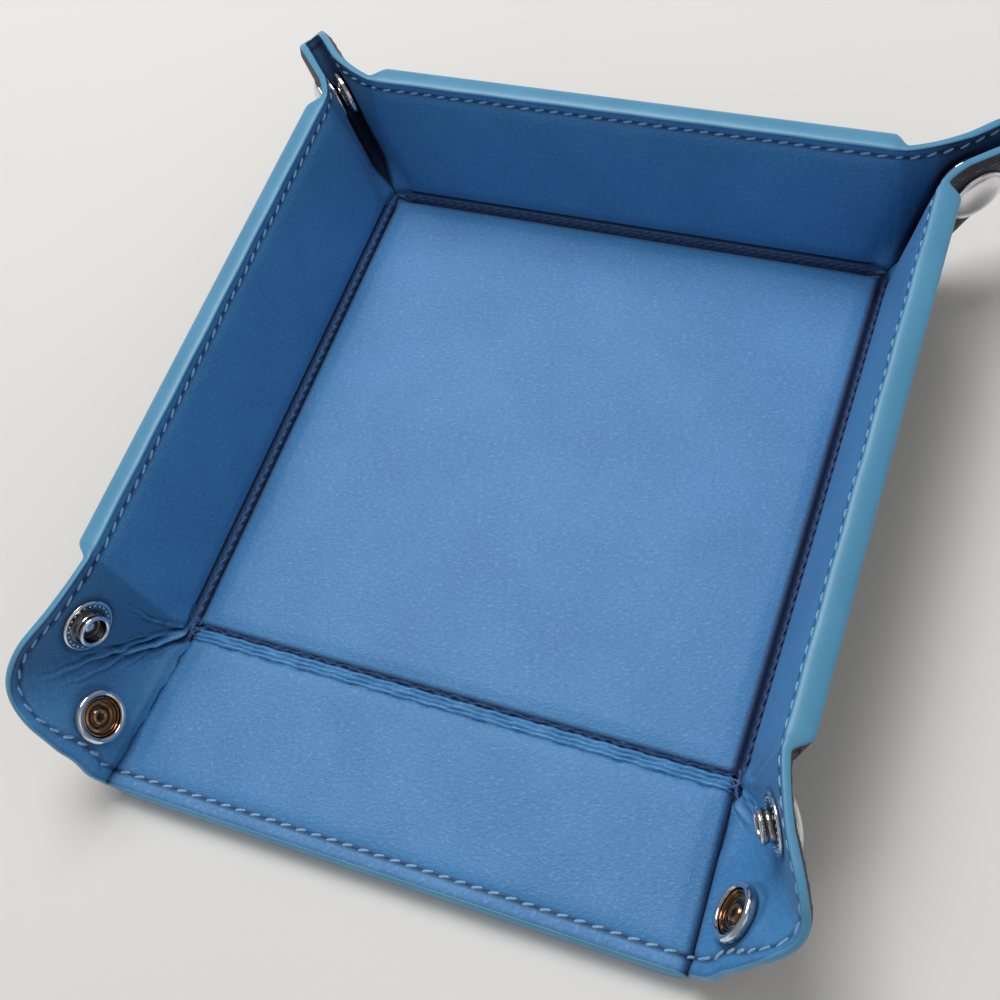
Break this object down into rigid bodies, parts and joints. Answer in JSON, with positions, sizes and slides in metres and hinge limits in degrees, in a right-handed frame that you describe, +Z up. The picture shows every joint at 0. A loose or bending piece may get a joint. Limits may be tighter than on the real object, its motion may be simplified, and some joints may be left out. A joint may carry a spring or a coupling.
{
  "type": "jewelry tray",
  "caption": "Square leather tray whose stiffened walls fold up from a flat base and whose corner leaves snap together.",
  "frame": {"origin": "centre of the base's underside", "axes": "+Z up, +Y towards the rear wall, +X towards the right wall"},
  "size_m": [0.2094, 0.2155, 0.0453],
  "materials": {
    "lining_leather": "smooth fine grain, satin",
    "cover_leather": "cross-grain embossed, satin",
    "stiffener_board": "grey-brown fibre board, hidden",
    "thread": "waxed sewing thread",
    "chrome": "polished"
  },
  "bodies": {
    "base": {"base_board": "stiffener_board", "base_lining": "lining_leather", "base_cover": "cover_leather", "base_thread": "thread"},
    "left_wall": {"left_wall_board": "stiffener_board", "left_wall_lining": "lining_leather", "left_wall_cover": "cover_leather", "left_wall_rim_thread": "thread"},
    "right_wall": {"right_wall_board": "stiffener_board", "right_wall_lining": "lining_leather", "right_wall_cover": "cover_leather", "right_wall_rim_thread": "thread"},
    "rear_wall": {"rear_wall_board": "stiffener_board", "rear_wall_lining": "lining_leather", "rear_wall_cover": "cover_leather", "rear_wall_rim_thread": "thread"},
    "front_wall": {"front_wall_board": "stiffener_board", "front_wall_lining": "lining_leather", "front_wall_cover": "cover_leather", "front_wall_rim_thread": "thread"},
    "left_rear_leaf": {"left_rear_lining": "lining_leather", "left_rear_cover": "cover_leather", "left_rear_stud": "chrome", "left_rear_stud_cap": "chrome"},
    "rear_left_leaf": {"rear_left_lining": "lining_leather", "rear_left_cover": "cover_leather", "rear_left_socket": "chrome", "rear_left_socket_cap": "chrome"},
    "right_rear_leaf": {"right_rear_lining": "lining_leather", "right_rear_cover": "cover_leather", "right_rear_stud": "chrome", "right_rear_stud_cap": "chrome"},
    "rear_right_leaf": {"rear_right_lining": "lining_leather", "rear_right_cover": "cover_leather", "rear_right_socket": "chrome", "rear_right_socket_cap": "chrome"},
    "left_front_bend": {"left_front_fold": "lining_leather"},
    "left_front_leaf": {"left_front_lining": "lining_leather", "left_front_cover": "cover_leather", "left_front_stud": "chrome", "left_front_stud_cap": "chrome"},
    "left_front_curl": {"left_front_curl": "lining_leather"},
    "front_left_leaf": {"front_left_lining": "lining_leather", "front_left_cover": "cover_leather", "front_left_socket": "chrome", "front_left_socket_cap": "chrome"},
    "right_front_bend": {"right_front_fold": "lining_leather"},
    "right_front_leaf": {"right_front_lining": "lining_leather", "right_front_cover": "cover_leather", "right_front_stud": "chrome", "right_front_stud_cap": "chrome"},
    "right_front_curl": {"right_front_curl": "lining_leather"},
    "front_right_leaf": {"front_right_lining": "lining_leather", "front_right_cover": "cover_leather", "front_right_socket": "chrome", "front_right_socket_cap": "chrome"}
  },
  "joints": [
    {"name": "front_wall_fold", "type": "hinge", "parent": "base", "child": "front_wall", "pos_m": [0, -0.0725, 0.006], "axis": [-1, 0, 0], "range_deg": [0, 70]},
    {"name": "rear_wall_fold", "type": "hinge", "parent": "base", "child": "rear_wall", "pos_m": [0, 0.0725, 0.006], "axis": [1, 0, 0], "range_deg": [-79.5, 0]},
    {"name": "left_wall_fold", "type": "hinge", "parent": "base", "child": "left_wall", "pos_m": [-0.0725, 0, 0.006], "axis": [0, 1, 0], "range_deg": [-75, 0]},
    {"name": "right_wall_fold", "type": "hinge", "parent": "base", "child": "right_wall", "pos_m": [0.0725, 0, 0.006], "axis": [0, -1, 0], "range_deg": [-75, 0]},
    {"name": "left_rear_fold", "type": "hinge", "parent": "left_wall", "child": "left_rear_leaf", "pos_m": [-0.07397, 0.0688, 0.00629], "axis": [-0.2548, 0.1762, 0.9508], "range_deg": [-46.35, 0]},
    {"name": "rear_left_fold", "type": "hinge", "parent": "rear_wall", "child": "rear_left_leaf", "pos_m": [-0.06887, 0.074, 0.0067], "axis": [0.2548, -0.1762, -0.9508], "range_deg": [-46.35, 0]},
    {"name": "right_rear_fold", "type": "hinge", "parent": "right_wall", "child": "right_rear_leaf", "pos_m": [0.07397, 0.0688, 0.00629], "axis": [-0.2548, -0.1762, -0.9508], "range_deg": [-46.35, 0]},
    {"name": "rear_right_fold", "type": "hinge", "parent": "rear_wall", "child": "rear_right_leaf", "pos_m": [0.06887, 0.074, 0.0067], "axis": [0.2548, 0.1762, 0.9508], "range_deg": [-46.35, 0]},
    {"name": "left_front_bend_fold", "type": "hinge", "parent": "left_wall", "child": "left_front_bend", "pos_m": [-0.07405, -0.06888, 0.00656], "axis": [0.2506, 0.2506, -0.9351], "range_deg": [-20, 0]},
    {"name": "left_front_leaf_fold", "type": "hinge", "parent": "left_front_bend", "child": "left_front_leaf", "pos_m": [-0.07457, -0.07062, 0.006], "axis": [0.2575, 0.2741, -0.9266], "range_deg": [0, 70]},
    {"name": "left_front_curl_fold", "type": "hinge", "parent": "left_front_leaf", "child": "left_front_curl", "pos_m": [-0.07216, -0.07227, 0.00697], "axis": [-0.3526, -0.6775, 0.6455], "range_deg": [-28, 0]},
    {"name": "front_left_leaf_fold", "type": "hinge", "parent": "left_front_curl", "child": "front_left_leaf", "pos_m": [-0.07112, -0.07448, 0.00522], "axis": [-0.3526, -0.6775, 0.6455], "range_deg": [0, 152]},
    {"name": "right_front_bend_fold", "type": "hinge", "parent": "right_wall", "child": "right_front_bend", "pos_m": [0.07405, -0.06888, 0.00656], "axis": [0.2506, -0.2506, 0.9351], "range_deg": [-28, 0]},
    {"name": "right_front_leaf_fold", "type": "hinge", "parent": "right_front_bend", "child": "right_front_leaf", "pos_m": [0.07481, -0.07052, 0.00596], "axis": [0.2608, -0.2727, 0.9261], "range_deg": [0, 57]},
    {"name": "right_front_curl_fold", "type": "hinge", "parent": "right_front_leaf", "child": "right_front_curl", "pos_m": [0.07281, -0.07239, 0.00676], "axis": [-0.4169, 0.6496, -0.6357], "range_deg": [-39, 0]},
    {"name": "front_right_leaf_fold", "type": "hinge", "parent": "right_front_curl", "child": "front_right_leaf", "pos_m": [0.07165, -0.07467, 0.0052], "axis": [-0.4169, 0.6496, -0.6357], "range_deg": [0, 141]}
  ],
  "couplings": [
    {"joint": "left_wall_fold", "follows": "rear_wall_fold", "ratio": 0.9434},
    {"joint": "right_wall_fold", "follows": "rear_wall_fold", "ratio": 0.9434},
    {"joint": "left_rear_fold", "follows": "rear_wall_fold", "ratio": 0.58304},
    {"joint": "rear_left_fold", "follows": "rear_wall_fold", "ratio": 0.58304},
    {"joint": "right_rear_fold", "follows": "rear_wall_fold", "ratio": 0.58304},
    {"joint": "rear_right_fold", "follows": "rear_wall_fold", "ratio": 0.58304},
    {"joint": "left_front_bend_fold", "follows": "rear_wall_fold", "ratio": 0.25157},
    {"joint": "left_front_leaf_fold", "follows": "front_wall_fold", "ratio": 1},
    {"joint": "left_front_curl_fold", "follows": "rear_wall_fold", "ratio": 0.3522},
    {"joint": "front_left_leaf_fold", "follows": "front_wall_fold", "ratio": 2.1714},
    {"joint": "right_front_bend_fold", "follows": "rear_wall_fold", "ratio": 0.3522},
    {"joint": "right_front_leaf_fold", "follows": "front_wall_fold", "ratio": 0.81429},
    {"joint": "right_front_curl_fold", "follows": "rear_wall_fold", "ratio": 0.49057},
    {"joint": "front_right_leaf_fold", "follows": "front_wall_fold", "ratio": 2.0143}
  ]
}
